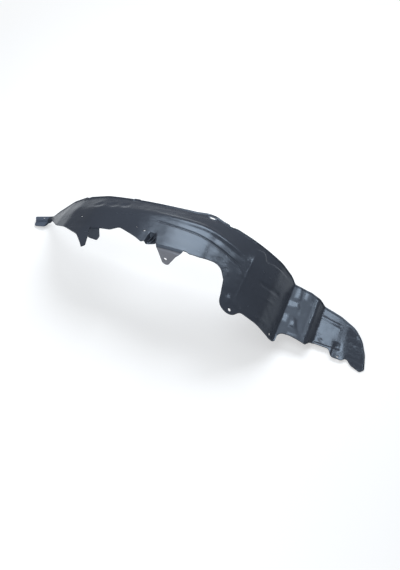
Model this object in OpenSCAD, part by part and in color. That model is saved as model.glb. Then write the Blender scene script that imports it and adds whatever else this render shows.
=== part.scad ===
// Wheel arch liner: one sheet of moulded plastic that runs over a road wheel.
// X runs forward along the vehicle, Y runs outboard and Z is up, all in millimetres.
// The sheet is a height over the X-Y plane, thickened along its own normals. Its inboard
// outline is then trimmed, the tabs are joined to it and the fixing holes are drilled.

/* [Sheet] */
// Overall length of the liner
liner_l = 974; // [960:1:990]
// Thickness of the moulded sheet
wall = 2.6; // [2.2:0.1:3]
// Width of the turned-up lip along the outboard edge
lip_w = 5; // [4:0.5:7]
// Rise of that lip over its width
lip_h = 2.4; // [1:0.2:3]

/* [Arch] */
// Height of the outboard edge at the crown of the arch
crown_z = 192; // [186:1:198]
// Position of the outboard edge along the arch
arch_y = 117; // [112:1:120]
// Rise of the roof inboard of the sloping outboard strip
strip_rise = 26; // [18:1:30]
// Width of the sloping outboard strip
strip_w = 60; // [52:1:66]
// Height of the long bead along the inner side of the strip
bead_h = 4; // [2:0.5:6]
// Depth of the long groove in the roof
groove_h = 3; // [2:0.5:5]

/* [Apron] */
// Height of the rear tread of the apron
tread_z = 38; // [34:1:42]
// Height of the front tread of the apron
low_tread_z = 12; // [10:1:16]
// Height of the front tip
tip_z = 4; // [3:1:8]

/* [Foot] */
// Height of the upper strip of the rear foot
foot_z = 17; // [15:1:19]
// Drop from that strip to the tongue beside it
foot_drop = 6; // [4:1:8]

/* [Tabs] */
// Outer radius of the bend at the top of the long tab
tab_bend = 12; // [8:1:14]
// Outer radius of the bend at the top of the short tab
short_bend = 5; // [4:0.5:7]
// Thickness of the hanging tabs
tab_wall = 2; // [1.6:0.1:2.2]

/* [Fixings] */
// Diameter of the holes for the push clips
clip_d = 8; // [6:0.5:9]
// Diameter of the small locating holes
pin_d = 5; // [3:0.5:6]
// Width of the slot at the crown
slot_w = 6; // [5:0.5:8]
// Length of that slot from centre to centre of its round ends
slot_l = 8; // [5:1:12]

/* [Hidden] */
plastic = [0.16, 0.17, 0.19];
// How far the length is stretched from the one that the outlines are drawn at
stretch = liner_l / 974;
// Foot of the front leg, where the apron starts, and the riser between the two treads
apron_x = 272;
riser_x = [340, 358.5];
// Bulge of the outboard edge at the crown, and the furthest inboard point of the front leg
bulge = 8;
lobe_y = -115.2;
// Point of the outlines that becomes the origin: under the middle, level with the lowest point
origin_at = [4.4, (arch_y + bulge + lobe_y) / 2, tip_z - wall + 0.35];
// Length of the drills that cut the holes
drill_l = 12;
// Holes through the sheet, each as [x, y, diameter]
sheet_holes = [
    [-455, 105, pin_d + 1], [-308, 106, pin_d + 1], [-269, 24, clip_d - 1], [-103, 2.5, pin_d - 1],
    [-80, -4, pin_d], [172, -104, clip_d], [262, -68, clip_d - 1], [424, -37, pin_d]
];
// Hole through the long tab, as [x, z]
tab_hole = [-9, 184];
// Inboard face of the long tab and of the short tab
long_tab_y = -47;
short_tab_y = -21;
// Middle of the slot at the crown, seen from above
slot_at = [47, 112];

// Outlines are corners in order of growing X, each as [x, y or z, radius of the bend].
// Height of the outboard edge, seen from the side
side_line = [
    [-484, foot_z - 6, 0], [-430, foot_z + 6, 20], [-348, 104, 60], [-306, 134, 80], [-240, 161, 120],
    [-150, 180, 400], [0, crown_z, 200], [60, crown_z, 150], [175, 139, 200], [232, 95, 90],
    [256, 64, 20], [apron_x, tread_z, 5], [riser_x[0], tread_z - 2, 20], [riser_x[1], low_tread_z, 5],
    [400, low_tread_z - 1, 60], [490, tip_z + 3, 0]
];
// Outboard edge, seen from above, with a small notch, a small tab and a step
outer_line = [
    [-484, 106, 0], [-434, 114, 30], [-400, arch_y, 60], [-306, arch_y, 0], [-303, arch_y - 4, 0],
    [-297, arch_y - 4, 0], [-294, arch_y, 0], [-168, arch_y, 0], [-166, arch_y + 3, 0],
    [-151, arch_y + 3, 0], [-149, arch_y, 0], [4, arch_y, 20], [30, arch_y + bulge, 20],
    [52, arch_y + bulge, 20], [74, arch_y, 20], [90, arch_y, 0], [93, arch_y - 5, 0],
    [99, arch_y - 3, 0], [110, arch_y + 3, 20], [262, arch_y + 3, 8], [275, 112.5, 6],
    [320, 104, 60], [338, 98.5, 10], [350, 97.5, 10], [405, 80.5, 80], [446, 60, 50], [468, 34, 50],
    [482, -4, 60], [490, -52, 0]
];
// Smooth line that the strip, the bead and the groove follow
strip_line = [
    [-484, 106, 0], [-434, 114, 30], [-400, arch_y, 60], [70, arch_y, 100], [120, arch_y + 3, 100],
    [490, arch_y + 4, 0]
];
// Inboard limit of the sheet before it is trimmed
blank_line = [
    [-484, 66, 0], [-430, 66, 40], [-349, -2, 60], [-270, -44, 60], [-215, -98, 40], [-150, -62, 60],
    [95, -62, 60], [140, lobe_y - 20, 30], [185, lobe_y - 20, 60], [230, -106, 60], [276, -98, 10],
    [300, -66, 20], [490, -66, 0]
];
// How much of the strip's rise each part of the length has
rise_line = [
    [-484, 0, 0], [-440, 0.04, 60], [-360, 0.3, 100], [-250, 0.62, 200], [-100, 1, 300],
    [80, 1, 300], [150, 0.54, 100], [230, 0.2, 60], [apron_x, 0, 20], [490, 0, 0]
];

// Inboard outline of the finished sheet, seen from above, as corners [x, y, radius]
trim_outline = [
    [-520, 140, 0], [-484, 140, 0], [-482, 101, 1], [-477, 95, 1], [-474, 77, 8], [-438, 79, 8],
    [-434, 94, 3], [-416, 88, 8],
    [-349, 17, 60], [-290, -17, 60], [-247, -42, 60], [-218, -74, 50], [-209, -86, 3], [-201, -78, 3],
    [-210, -50, 20], [-222, -16, 4], [-166, -18, 12], [-146, -6, 14], [-92, -29, 60], [-74, -39, 6],
    [-66, -34, 3], [-44, -26, 1], [-39, -26, 1], [-36.5, -36, 1], [40, -35, 4], [47, -38, 6],
    [70, -34, 30], [98, -22, 30], [116, -18, 20], [134, -46, 16], [142, -84, 30], [147, lobe_y + 1.2, 22],
    [178, lobe_y - 0.8, 20], [192, -90, 14],
    [236, -82, 60], [262, -78, 8], [276, -70, 7], [277, -42, 14], [305, -40, 60], [343, -46, 6],
    [354, -23, 12], [398, -24, 8], [408, -42, 12], [436, -43, 10], [443, -31, 6], [458, -47, 12],
    [482, -56, 6], [491, -46, 2], [520, -46, 0], [520, -200, 0], [-520, -200, 0]
];
// Lowest and highest point of the cutter of that outline
cutter_z = [-20, 280];
// Corners of the tabs seen from the side, each as [x, z, radius]
long_tab = [
    [-39, 250, 0], [-37, 217, 3], [-27, 207, 12], [-12, 149, 10], [17.5, 201, 12], [33, 218, 4],
    [35, 250, 0]
];
short_tab = [[-231, 210, 0], [-230, 146, 4], [-206, 145, 6], [-197, 160, 8], [-192, 210, 0]];
// Gussets of the ledge beside the long tab: places along X, ends along Y, width and turn
gusset_x = [-58, -50];
gusset_y = [-28, -9];
gusset_w = 2;
gusset_turn = 25;

// Ledge beside the long tab: ends along X, far end along Y, depth and width of its walls' slope.
// Its front wall leans back by ledge_lean for each millimetre of Y, from ledge_lean_y on.
ledge_x = [-64, -43];
ledge_y = -9;
ledge_drop = 12;
ledge_slope = 5;
ledge_lean = 0.4;
ledge_lean_y = -26;
// Raised and sunken pads of the apron, each as [x from, x to, y from, y to, height, slope's width]
pads = [
    [281, 295, 69, 104, 4.5, 5], [281, 303, 40, 60, 3.5, 5], [281, 303, 19.5, 31, -2, 5],
    [281, 303, -26, 13, 2, 5], [303, 318.5, -29, 13, -3.5, 5], [361, 412, 51, 72, 2.5, 5],
    [361, 382, 3, 14, 1.5, 5], [361, 382, -14, -3, -2.5, 5], [361, 407, -60, -18, 2.5, 5],
    [407, 423, -22, 2, -4, 5]
];
// Shallow round dents of the strip, each as [x, y, radius, depth]
dents = [[-243, 72, 14, 3], [-205, 74, 14, 3], [-172, 78, 14, 3]];
// Where along X the lip starts and the tongue of the foot ends
lip_from = [-440, -400];
tongue_to = [-440, -412];
// Distances in from the outboard edge of the step down to that tongue
tongue_step = [13, 16];
// Where the bead and groove of the roof rise and fade along X
bead_from = [-96, -36];
bead_to = [110, 180];
// Distances of the bead and the groove from the strip line in the middle, and their half-widths
bead_at = 65;
bead_half = 14;
groove_at = 93;
groove_half = 5;
// Slide of the groove inboard for each millimetre of X, where it is nil, and the furthest it goes
slide = 0.095;
slide_from = 52;
slide_most = 12;
// Fold where the tip turns down: its x at y = 0, its lean, slope and rounding
fold_x = 427;
fold_lean = 0.33;
fold_slope = 0.06;
fold_round = 8;
// Straight crease across the front leg: its place along X, ends, height, half-width and the length
// over which it fades
crease_x = 173;
crease_y = [-66, 76];
crease_h = 1.6;
crease_half = 7;
crease_fade = 20;
// Raised panel of the front leg: its ends along X, the Y over which it rises, its height, and the
// widths of its slopes along X and at its outboard limit
panel_x = [160, 258];
panel_y = [20, 60];
panel_h = 2.5;
panel_slope = 24;
panel_edge = 6;
// Outboard limit of that panel, as corners [x, y, radius]
leg_line = [[148, 89, 0], [188, 107, 8], [200, 82, 5], [216, 93.5, 20], [262, 103, 0]];

unit = function(v) v / norm(v);
heading = function(v) atan2(v.y, v.x);

// Distance from a corner to the start of its bend
function reach(p, q, r) = q.z * tan(abs(turn(p, q, r)) / 2);
function turn(p, q, r) = heading(flat(r) - flat(q)) - heading(flat(q) - flat(p));
function flat(p) = [p.x, p.y];
function whole_turn(a) = a > 180 ? a - 360 : a < -180 ? a + 360 : a;

// Height of a rounded line at x, from its corners
function line_at(c, x, i = 1) =
    i == len(c) - 1 ? straight(c, i, x)
    : let (t = reach(c[i - 1], c[i], c[i + 1]), u = unit(flat(c[i]) - flat(c[i - 1])),
           v = unit(flat(c[i + 1]) - flat(c[i])))
      x <= c[i].x - t * u.x ? straight(c, i, x)
      : x <= c[i].x + t * v.x ? bend_at(c[i], u, v, t, x)
      : line_at(c, x, i + 1);
function straight(c, i, x) =
    let (p = c[i - 1], q = c[i]) p.y + (q.y - p.y) * (x - p.x) / (q.x - p.x);
function bend_at(q, u, v, t, x) =
    let (s = sign(cross(u, v)), mid = flat(q) - t * u + s * q.z * [-u.y, u.x])
    mid.y - s * sqrt(max(0, q.z * q.z - (x - mid.x) * (x - mid.x)));

// Smooth step from 0 at a to 1 at b
function step_up(a, b, x) = let (t = min(1, max(0, (x - a) / (b - a)))) t * t * (3 - 2 * t);
function rise_in(ends, x) = step_up(ends[0], ends[1], x);
// Smooth window that is 1 from a to b, with slopes centred on both ends
function window(x, a, b, slope) =
    step_up(a - slope / 2, a + slope / 2, x) * (1 - step_up(b - slope / 2, b + slope / 2, x));
// Round bump of height 1 and half-width w
function bump(x, w) = let (t = min(1, abs(x) / w)) (1 - t * t) * (1 - t * t);
// Ramp of slope 1 that levels off at 1 with a soft shoulder
function shoulder(t) = t < 0.8 ? t : t < 1.2 ? 0.8 + (t - 0.8) - (t - 0.8) * (t - 0.8) / 0.8 : 1;
function mix(a, b, t) = a + (b - a) * t;
function total(v, i = 0) = i < len(v) ? v[i] + total(v, i + 1) : 0;

// Ramp of slope 1 from 0 on, with a rounded start
function soft_ramp(x, r) = (x + sqrt(x * x + r * r)) / 2;

// Lines of the sheet read at x: side, rise, outer edge, strip line and limit of the leg's panel
function lines_at(x) = [
    line_at(side_line, x), line_at(rise_line, x), line_at(outer_line, x), line_at(strip_line, x),
    line_at(leg_line, x)
];

// Height of the top face at x, y, where l holds the lines at x
function height(x, y, l) =
    let (edge = l[2] - y, a = l[3] - y)
    l[0] + strip_rise * l[1] * shoulder(a / strip_w)
    + lip_h * (1 - step_up(1, lip_w + 1, edge)) * rise_in(lip_from, x)
    - foot_drop * (1 - rise_in(tongue_to, x)) * rise_in(tongue_step, edge)
    - fold_slope * soft_ramp(x - fold_x + fold_lean * y, fold_round)
    + arch_beads(x, a) + leg_creases(x, y, l[4]) + pad_heights(x, y) - ledge_depth(x, y);

// How far the groove lies from its middle place
function slide_at(x) = max(-slide_most, min(slide_most, slide * (x - slide_from)));

// Long bead and groove of the roof
function arch_beads(x, a) =
    let (along = rise_in(bead_from, x) * (1 - rise_in(bead_to, x)), aside = slide_at(x))
    along * (bead_h * bump(a - bead_at - aside / 2, bead_half)
        - groove_h * bump(a - groove_at - aside, groove_half));

// Crease and raised panel of the front leg
function leg_creases(x, y, crease) =
    crease_h * window(y, crease_y[0], crease_y[1], crease_fade) * bump(x - crease_x, crease_half)
    + panel_h * window(x, panel_x[0], panel_x[1], panel_slope) * rise_in(panel_y, y)
        * (1 - step_up(crease - panel_edge / 2, crease + panel_edge / 2, y));

function ledge_depth(x, y) =
    ledge_drop * window(x, ledge_x[0], ledge_x[1] - ledge_lean * (y - ledge_lean_y), ledge_slope)
    * (1 - step_up(ledge_y - ledge_slope / 2, ledge_y + ledge_slope / 2, y));

function pad_heights(x, y) =
    total([for (p = pads) p[4] * window(x, p[0], p[1], p[5]) * window(y, p[2], p[3], p[5])])
    - total([for (d = dents) d[3] * bump(norm([x - d[0], y - d[1]]), d[2])]);

// Stations along X, closer where the sheet bends and one at each corner of its edge.
// Single places are numbers, and an even stretch is [from, to, longest step].
station_plan = [
    [-484, -428, 11.3], [-428, -340, 12.6], [-340, -306, 11.4], -306, -303, -297, -294,
    [-284, -168, 19.4], -168, -166, -151, -149, [-140, -76, 21.4], -66.5, -61.5, -56, -50, -45.5,
    -40.5, -34, [-24, 82, 15.2], 82, 90, 93, 99, [110, 158, 12.1], [158, 188, 5.1],
    [188, 262, 10.6], 262, 268, 270.5, 274, 278.5, 283.5, 292.5, 297.5, 300.5, 305.5, 316, 321, 330,
    337, 343, 350, 355.5, 358.5, 363.5, 379.5, 384.5, 394, 404.5, 409.5, 414.5, 420.5, 425.5, 434,
    443, 453, 463, 472, 481, 490
];
stations = [for (s = station_plan) each is_list(s) ? spaced(s[0], s[1], s[2]) : [s]];
function spaced(a, b, step) = let (n = ceil((b - a) / step)) [for (i = [0:n - 1]) a + (b - a) * i / n];
// Distances in from the outboard edge of the rows of the arch, where it is full_rows wide
arch_rows = [0, 3, 6, 16, 22, 28, 38, 47, 54, 61, 68, 78, 87, 90.5, 93, 95.5, 99, 108, 119, 128, 137,
    147, 157, 165];
// Y of the rows of the apron, one at each edge of the slopes of the pads of the rear tread, and
// how much further outboard they lie on the front tread
apron_rows = [120, 117, 114, 100, 84, 71, 66, 60, 55, 45, 40, 36, 31, 26, 21, 16, 11, 5, 0, -10, -15,
    -22, -27, -66];
front_shift = 6;
bead_rows = 106;
full_rows = 165;
narrow = 130;
// Half-width of the band of rows that slide with the groove
slide_rows = 40;
// Closest spacing of the rows where the apron narrows, and the width of the rows of the lip
min_step = 2;
lip_rows = 6;
// Where along X the rows of the arch start to turn into those of the apron
rows_turn = 225;
last_row = len(arch_rows) - 1;

// Distance in from the strip line of an arch row where the sheet is w wide
function row_at(a, x, w) =
    let (k = min(1, w / narrow), slid = a + slide_at(x) * k * bump(a - groove_at, slide_rows))
    slid * k + (w - k * full_rows) * max(0, (slid - bead_rows) / (full_rows - bead_rows));
// Y of row j at a station, where the first three rows follow the outboard edge
function row_y(j, x, outer, strip, inner) =
    let (arch = strip - row_at(arch_rows[j], x, strip - inner),
         across = apron_rows[j] + front_shift * rise_in(riser_x, x),
         level = mix(arch, j == last_row ? inner : across, step_up(rows_turn, apron_x, x)),
         squeeze = min(1, (outer - inner) / (lip_rows + min_step * last_row)))
    j < 3 ? outer - squeeze * arch_rows[j]
    : min(level, outer - squeeze * (lip_rows + min_step * (j - 2)));

function top_grid() = [
    for (x = stations)
        let (l = lines_at(x), inner = line_at(blank_line, x))
        [for (j = [0:last_row]) let (y = row_y(j, x, l[2], l[3], inner)) [x, y, height(x, y, l)]]
];

// Grid of points one wall below the top grid, along its normals
function under_grid(g) = [
    for (i = [0:len(g) - 1]) [
        for (j = [0:len(g[i]) - 1])
            let (along = g[min(i + 1, len(g) - 1)][j] - g[max(i - 1, 0)][j],
                 across = g[i][max(j - 1, 0)] - g[i][min(j + 1, len(g[i]) - 1)])
            g[i][j] - wall * unit(cross(along, across))
    ]
];

module blank() {
    top = top_grid();
    under = under_grid(top);
    n = len(arch_rows);
    m = len(stations);
    at = function(i, j) i * n + j;
    low = function(i, j) m * n + i * n + j;
    faces = concat(
        [for (i = [0:m - 2], j = [0:n - 2]) each [
            [at(i, j), at(i + 1, j), at(i + 1, j + 1)], [at(i, j), at(i + 1, j + 1), at(i, j + 1)],
            [low(i, j), low(i + 1, j + 1), low(i + 1, j)], [low(i, j), low(i, j + 1), low(i + 1, j + 1)]
        ]],
        [for (i = [0:m - 2]) each [
            [at(i, 0), low(i, 0), low(i + 1, 0)], [at(i, 0), low(i + 1, 0), at(i + 1, 0)],
            [at(i, n - 1), low(i + 1, n - 1), low(i, n - 1)],
            [at(i, n - 1), at(i + 1, n - 1), low(i + 1, n - 1)]
        ]],
        [for (j = [0:n - 2]) each [
            [at(0, j), low(0, j + 1), low(0, j)], [at(0, j), at(0, j + 1), low(0, j + 1)],
            [at(m - 1, j), low(m - 1, j), low(m - 1, j + 1)],
            [at(m - 1, j), low(m - 1, j + 1), at(m - 1, j + 1)]
        ]]
    );
    points = concat([for (row = top) each row], [for (row = under) each row]);
    polyhedron(points, faces);
}

// Points of a closed outline whose corners [x, y, radius] are rounded by arcs
function rounded(c) = [
    for (i = [0:len(c) - 1])
        let (p = flat(c[(i + len(c) - 1) % len(c)]), q = flat(c[i]), r = flat(c[(i + 1) % len(c)]))
        each c[i].z == 0 ? [q] : arc_points(p, q, r, c[i].z)
];
function arc_points(p, q, r, radius) =
    let (u = unit(q - p), v = unit(r - q), bend = whole_turn(heading(v) - heading(u)),
         t = radius * tan(abs(bend) / 2), s = sign(bend), mid = q - t * u + s * radius * [-u.y, u.x],
         n = max(1, ceil(abs(bend) / 12)), start = q - t * u - mid)
    [for (k = [0:n]) mid + [
        start.x * cos(bend * k / n) - start.y * sin(bend * k / n),
        start.x * sin(bend * k / n) + start.y * cos(bend * k / n)
    ]];

// The sheet with its inboard outline cut to shape
module trimmed() {
    difference() {
        blank();
        translate([0, 0, cutter_z[0]]) linear_extrude(cutter_z[1] - cutter_z[0])
            polygon(rounded(trim_outline));
    }
}

// Height of the sheet at any x and y
function sheet_z(x, y) = height(x, y, lines_at(x));

// Plate that bends down from the sheet at edge_y, cut to an outline seen from the side
module tab(outline, edge_y, bend) {
    margin = 4;
    x_from = outline[0].x;
    x_to = outline[len(outline) - 1].x;
    root_y = edge_y + bend + margin;
    near_x = mix(x_from, x_to, 0.25);
    far_x = mix(x_from, x_to, 0.75);
    near_z = sheet_z(near_x, root_y);
    far_z = sheet_z(far_x, root_y);
    sink = 0.4;
    flange = 14;
    depth = 70;
    turn = [for (a = [90:15:180]) [cos(a), sin(a)]];
    back = [for (k = [0:len(turn) - 1]) turn[len(turn) - 1 - k]];
    mid = [bend, -sink - bend];
    profile = concat([[bend + flange, -sink]], [for (t = turn) mid + bend * t],
        [[0, -depth], [tab_wall, -depth]],
        [for (t = back) mid + (bend - tab_wall) * t], [[bend + flange, -sink - tab_wall]]);
    intersection() {
        translate([near_x, edge_y, near_z])
            rotate([0, -atan2(far_z - near_z, far_x - near_x), 0])
            translate([x_from - near_x - margin, 0, 0])
            rotate([90, 0, 90])
            linear_extrude(x_to - x_from + 2 * margin)
            polygon(profile);
        translate([0, edge_y + bend + flange + 1, 0])
            rotate([90, 0, 0])
            linear_extrude(bend + flange + margin)
            polygon(rounded(outline));
    }
}

// Stiffening gussets that stand on the ledge
module gussets() {
    half = (gusset_y[1] - gusset_y[0]) / 2;
    low_end = 3;
    for (x = gusset_x)
        translate([x, gusset_y[0] + half, sheet_z(x, gusset_y[0]) - wall / 2])
            rotate([90, 0, 90 - gusset_turn])
            linear_extrude(gusset_w, center = true)
            polygon([[-half, 0], [half, 0], [half, ledge_drop - 1], [-half, low_end]]);
}

// Direction of the normal of the sheet at x, y
function sheet_normal(x, y) =
    let (reach = 3, dx = sheet_z(x + reach, y) - sheet_z(x - reach, y),
         dy = sheet_z(x, y + reach) - sheet_z(x, y - reach))
    unit([-dx, -dy, 2 * reach]);

// Drill along the normal of the sheet at x, y
module drill(x, y, d) {
    normal = sheet_normal(x, y);
    translate([x * stretch, y, sheet_z(x, y)])
        rotate([0, acos(normal.z), atan2(normal.y, normal.x)])
        cylinder(h = drill_l, d = d, center = true, $fn = 32);
}

// Slot with round ends, along X
module slot() {
    drill(slot_at.x - slot_l / 2, slot_at.y, slot_w);
    drill(slot_at.x + slot_l / 2, slot_at.y, slot_w);
    normal = sheet_normal(slot_at.x, slot_at.y);
    translate([slot_at.x * stretch, slot_at.y, sheet_z(slot_at.x, slot_at.y)])
        rotate([-atan2(normal.y, normal.z), atan2(normal.x, normal.z), 0])
        cube([slot_l, slot_w, drill_l], center = true);
}

module moulding() {
    trimmed();
    tab(long_tab, long_tab_y, tab_bend);
    tab(short_tab, short_tab_y, short_bend);
    gussets();
}

module liner() {
    color(plastic) translate(-origin_at) difference() {
        resize([liner_l, 0, 0]) moulding();
        for (h = sheet_holes) drill(h.x, h.y, h.z);
        slot();
        translate([tab_hole.x * stretch, long_tab_y, tab_hole.y])
            rotate([90, 0, 0])
            cylinder(h = drill_l, d = clip_d, center = true, $fn = 32);
    }
}

liner();
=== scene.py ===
import math

import bmesh
import bpy
import numpy as np
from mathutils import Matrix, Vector


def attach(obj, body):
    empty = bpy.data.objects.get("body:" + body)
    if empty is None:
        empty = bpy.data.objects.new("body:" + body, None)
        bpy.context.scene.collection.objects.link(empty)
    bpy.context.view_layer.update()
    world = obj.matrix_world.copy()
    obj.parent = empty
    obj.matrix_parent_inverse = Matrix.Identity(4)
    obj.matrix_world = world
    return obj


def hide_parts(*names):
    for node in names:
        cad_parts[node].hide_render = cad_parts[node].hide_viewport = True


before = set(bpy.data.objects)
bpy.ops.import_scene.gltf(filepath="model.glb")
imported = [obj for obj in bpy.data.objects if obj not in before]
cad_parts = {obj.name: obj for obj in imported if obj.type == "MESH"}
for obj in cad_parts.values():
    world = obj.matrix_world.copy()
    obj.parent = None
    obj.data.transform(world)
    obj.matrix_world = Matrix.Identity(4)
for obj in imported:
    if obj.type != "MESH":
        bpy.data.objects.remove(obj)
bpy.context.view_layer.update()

bl_info = {
    "name": "Wheel Arch Liner",
    "version": (1, 0, 0),
    "blender": (4, 5, 0),
    "location": "3D View > Sidebar > Liner",
    "description": "Builds a moulded wheel arch liner and a plain studio around it",
    "category": "Object",
}

NODE = "liner"
PIECE = "arch_liner"

# The outlines below are in millimetres, with X forward, Y outboard and Z up.
MM = 0.001
# Point of the outlines that lies at the origin of the frame
ORIGIN = np.array([4.4, 4.9, 1.68])
# Foot of the front leg, and the riser between the two treads of the apron
APRON_X = 272.0
RISER_X = (340.0, 358.5)
ARCH_Y = 117.0
CROWN_Z = 192.0
TREAD_Z = 38.0
LOW_TREAD_Z = 12.0

# Height of the outboard edge seen from the side, as corners (x, z, radius of the bend)
SIDE_LINE = [
    (-484, 11, 0), (-430, 23, 20), (-348, 104, 60), (-306, 134, 80), (-240, 161, 120),
    (-150, 180, 1200), (0, CROWN_Z, 600), (60, CROWN_Z, 150), (175, 139, 400), (232, 95, 90),
    (256, 64, 20), (APRON_X, TREAD_Z + 2, 5), (302, TREAD_Z + 0.2, 80),
    (324, TREAD_Z - 2.4, 50), (RISER_X[0] + 1.5, TREAD_Z - 5.8, 16), (RISER_X[1], LOW_TREAD_Z, 8),
    (400, LOW_TREAD_Z - 1, 60), (490, 7, 0),
]
# Outboard edge seen from above, as corners (x, y, radius)
OUTER_LINE = [
    (-484, 106, 0), (-434, 114, 30), (-400, ARCH_Y, 60), (-306, ARCH_Y, 0), (-303, ARCH_Y - 4, 0),
    (-297, ARCH_Y - 4, 0), (-294, ARCH_Y, 0), (-168, ARCH_Y, 0), (-166, ARCH_Y + 3, 0),
    (-151, ARCH_Y + 3, 0), (-149, ARCH_Y, 0), (4, ARCH_Y, 20), (30, ARCH_Y + 8, 20),
    (52, ARCH_Y + 8, 20), (74, ARCH_Y, 20), (90, ARCH_Y, 0), (93, ARCH_Y - 5, 0),
    (99, ARCH_Y - 3, 0), (110, ARCH_Y + 3, 20), (262, 120, 8), (275, 112.5, 6), (320, 104, 60),
    (338, 98.5, 10), (350, 97.5, 10), (405, 80.5, 80), (446, 60, 50), (468, 34, 50), (482, -4, 60),
    (490, -52, 0),
]
# Smooth line that the strip, the bead and the groove follow, as corners (x, y, radius)
STRIP_LINE = [
    (-484, 106, 0), (-434, 114, 30), (-400, ARCH_Y, 60), (70, ARCH_Y, 100), (120, ARCH_Y + 3, 100),
    (490, ARCH_Y + 4, 0),
]
# Inboard limit of the sheet before it is trimmed
BLANK_LINE = [
    (-484, 66, 0), (-430, 66, 40), (-349, -2, 60), (-270, -44, 60), (-215, -98, 40),
    (-150, -62, 60), (95, -62, 60), (140, -135.2, 30), (185, -135.2, 60), (230, -106, 60),
    (276, -98, 10), (300, -66, 20), (490, -66, 0),
]
# Share of the strip's rise along the length, as (x, share, radius of the bend in millimetres)
RISE_LINE = [
    (-484, 0, 0), (-440, 0.04, 60), (-360, 0.3, 200), (-250, 0.62, 400), (-100, 1, 600),
    (80, 1, 350), (150, 0.54, 400), (230, 0.2, 60), (APRON_X, 0, 20), (490, 0, 0),
]
# Inboard outline of the finished sheet seen from above, with a margin around the far sides
TRIM_OUTLINE = [
    (-520, 140, 0), (-484, 140, 0), (-482, 101, 1), (-477, 95, 1), (-474, 77, 8), (-438, 79, 8),
    (-434, 94, 3), (-416, 88, 8), (-349, 17, 60), (-290, -17, 60), (-247, -42, 60),
    (-218, -74, 50), (-209, -86, 3), (-201, -78, 3), (-210, -50, 20), (-222, -16, 4),
    (-166, -18, 12), (-146, -6, 14), (-92, -29, 60), (-74, -39, 6), (-66, -34, 3), (-44, -26, 1),
    (-39, -26, 1), (-36.5, -36, 1), (40, -35, 4), (47, -38, 6), (70, -34, 30), (98, -22, 30),
    (116, -18, 20), (134, -46, 16), (142, -84, 30), (147, -114, 22), (178, -115.9, 20),
    (192, -90, 14), (236, -82, 60), (262, -78, 8), (276, -70, 7), (277, -42, 14), (305, -40, 60),
    (343, -46, 6), (354, -23, 12), (398, -24, 8), (408, -42, 12), (436, -43, 10), (443, -31, 6),
    (458, -47, 12), (482, -56, 6), (491, -46, 2), (520, -46, 0), (520, -200, 0), (-520, -200, 0),
]
# Tabs seen from the side, as corners (x, z, radius)
LONG_TAB = [
    (-39, 250, 0), (-37, 217, 3), (-27, 207, 12), (-12, 149, 10), (17.5, 201, 12), (33, 218, 4),
    (35, 250, 0),
]
SHORT_TAB = [(-231, 210, 0), (-230, 146, 4), (-206, 145, 6), (-197, 160, 8), (-192, 210, 0)]
LONG_TAB_Y = -47.0
SHORT_TAB_Y = -21.0

# Ledge beside the long tab, with its gussets
LEDGE_X = (-64.0, -43.0)
LEDGE_Y = -9.0
LEDGE_SLOPE = 5.0
# Lean of the ledge's front wall for each millimetre of Y, and where it starts
LEDGE_LEAN = 0.4
LEDGE_LEAN_Y = -26.0
LEDGE_DROP = 12.0
GUSSET_X = (-58.0, -50.0)
GUSSET_Y = (-28.0, -9.0)
GUSSET_TURN = 25.0
# Height of the gussets' low end, and how far their top stays under the roof
GUSSET_LOW_END = 3.0
GUSSET_UNDER = 1.0
# Raised and sunken pads of the apron, as (x from, x to, y from, y to, height at the back, at the
# front, width of the slope, shift of x per millimetre of y, shift of y per millimetre of x)
PADS = [
    (280, 295, 71, 108, 0, 2.7, 8, -0.2, 0), (303, 322, 78, 116, -0.8, 1.2, 12, -0.2, 0),
    (274, 300, 44, 63, 0, 2.0, 9, -0.3, 0), (280, 291, 51, 56, -0.5, -0.5, 7, -0.3, 0),
    (298, 304, 48, 60, -1.2, -1.2, 8, -0.3, 0), (276, 305, -14, 16, 0, 2.2, 11, -0.35, 0),
    (311, 321, -26, 10, -1.8, -1.8, 13, -0.4, 0), (359, 409, 53, 61, 1.0, 1.5, 9, 0, -0.23),
    (360, 368, 5, 11, 0.6, 0.6, 9, 0, 0), (370, 380, -10, -4, -1.4, -1.4, 11, 0, -0.3),
    (361, 407, -80, -18, 2.5, 2.5, 6, 0, 0), (408, 422, -16, -1, -4.2, -4.2, 13, -0.1, 0),
]
# Shallow round dents of the strip, as (x, y, radius, depth)
DENTS = [(-243, 72, 17, 2), (-205, 74, 18, 1.8), (-172, 78, 17, 1.8)]
# Spots of the strip that are level across, around its openings, as (x, y, half length, half width)
LEVEL_SPOTS = [(47, 112, 12, 8), (-308, 106, 7, 7)]
LEVEL_FADE = 6.0
# Outboard limit of the raised panel of the front leg
PANEL_LINE = [(148, 89, 0), (188, 107, 8), (200, 82, 5), (216, 93.5, 20), (262, 103, 0)]
PANEL_X = (166.0, 258.0)
PANEL_RISE = 2.0
# Slope of the panel's ends, half the slope of its outboard edge, and where along Y it rises
PANEL_END_SLOPE = 24.0
PANEL_EDGE_HALF = 3.0
PANEL_FROM_Y = (20.0, 60.0)

# Where along X the lip starts and the tongue of the foot ends
LIP_FROM = (-440.0, -400.0)
# Flat rim outboard of the lip's slope
LIP_RIM = 1.0
TONGUE_TO = (-440.0, -412.0)
TONGUE_STEP = (13.0, 16.0)
TONGUE_DROP = 6.0
# Where the bead and groove of the roof rise and fade along X
BEAD_FROM = (-96.0, -36.0)
BEAD_TO = (110.0, 180.0)
BEAD_AT = 63.0
BEAD_HALF = 14.0
GROOVE_AT = 93.0
GROOVE_HALF = 4.0
# How far the groove slides inboard for each millimetre of X, from the place where it is in the
# middle, and the furthest that it goes
SLIDE = 0.095
SLIDE_FROM = 52.0
SLIDE_MOST = 12.0
# Line across the apron where the tip folds down: its x at y = 0, lean, slope and rounding
FOLD_X = 427.0
FOLD_LEAN = 0.33
FOLD_SLOPE = 0.06
FOLD_ROUND = 8.0

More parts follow.
